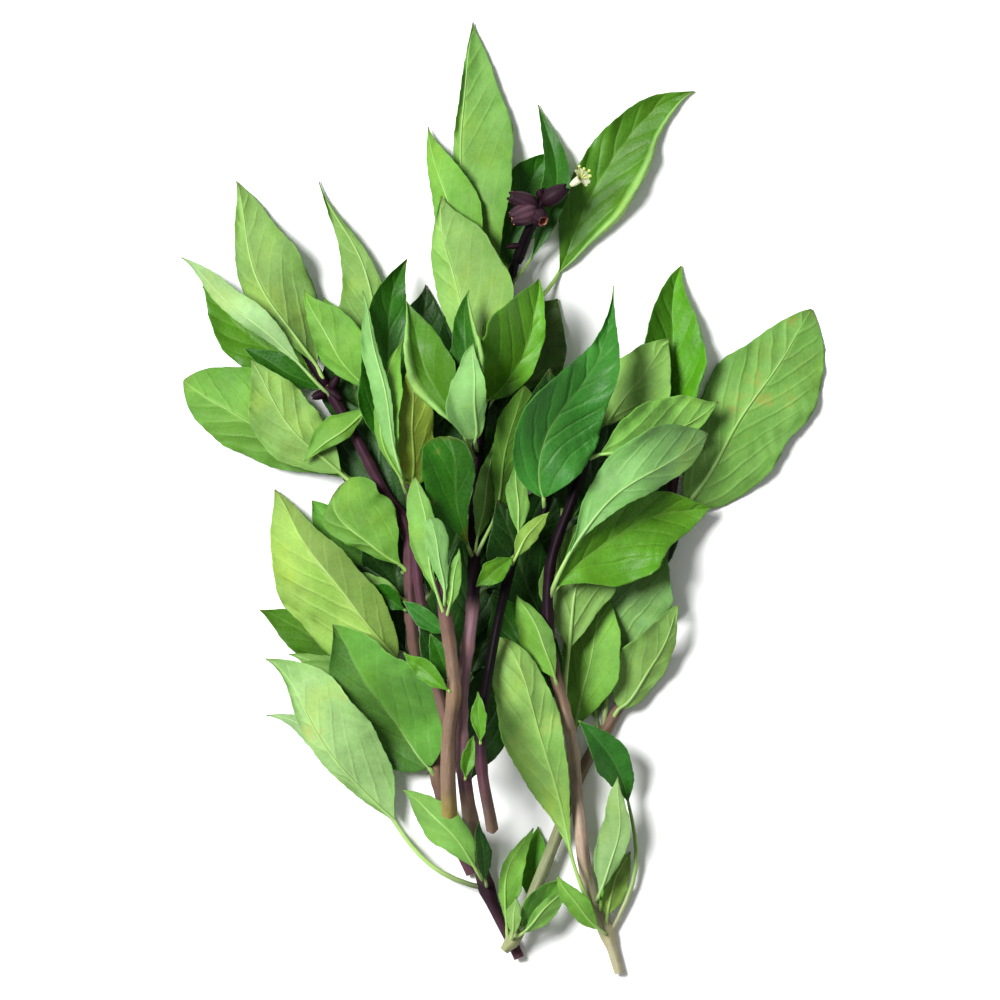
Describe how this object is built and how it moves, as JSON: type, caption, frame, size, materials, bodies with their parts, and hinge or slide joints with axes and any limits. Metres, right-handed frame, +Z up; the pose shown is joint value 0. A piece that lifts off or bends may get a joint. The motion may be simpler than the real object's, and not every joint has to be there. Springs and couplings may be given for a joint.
{
  "type": "basil bunch",
  "caption": "Bunch of fresh Thai basil lying down: purple stems, glossy green leaves and a purple flower spike.",
  "frame": {"origin": "on the table under the middle of the bunch's bounding box", "axes": "+Z up from the table, +Y from the cut ends of the stems to the leafy tips, +X to the right seen from above"},
  "size_m": [0.1664, 0.2483, 0.0383],
  "materials": {
    "left_stem": "satin",
    "inner_stem": "satin",
    "flowering_stem": "satin",
    "back_stem": "satin",
    "right_stem": "satin",
    "stub_stem": "satin",
    "front_stem": "satin",
    "flower_spike": "matt",
    "open_flower": "matt"
  },
  "bodies": {
    "root": {"back_stem": "back_stem", "flower_spike": "flower_spike", "flowering_stem": "flowering_stem", "front_stem": "front_stem", "inner_stem": "inner_stem", "left_stem": "left_stem", "open_flower": "open_flower", "right_stem": "right_stem", "stub_stem": "stub_stem"}
  },
  "joints": []
}
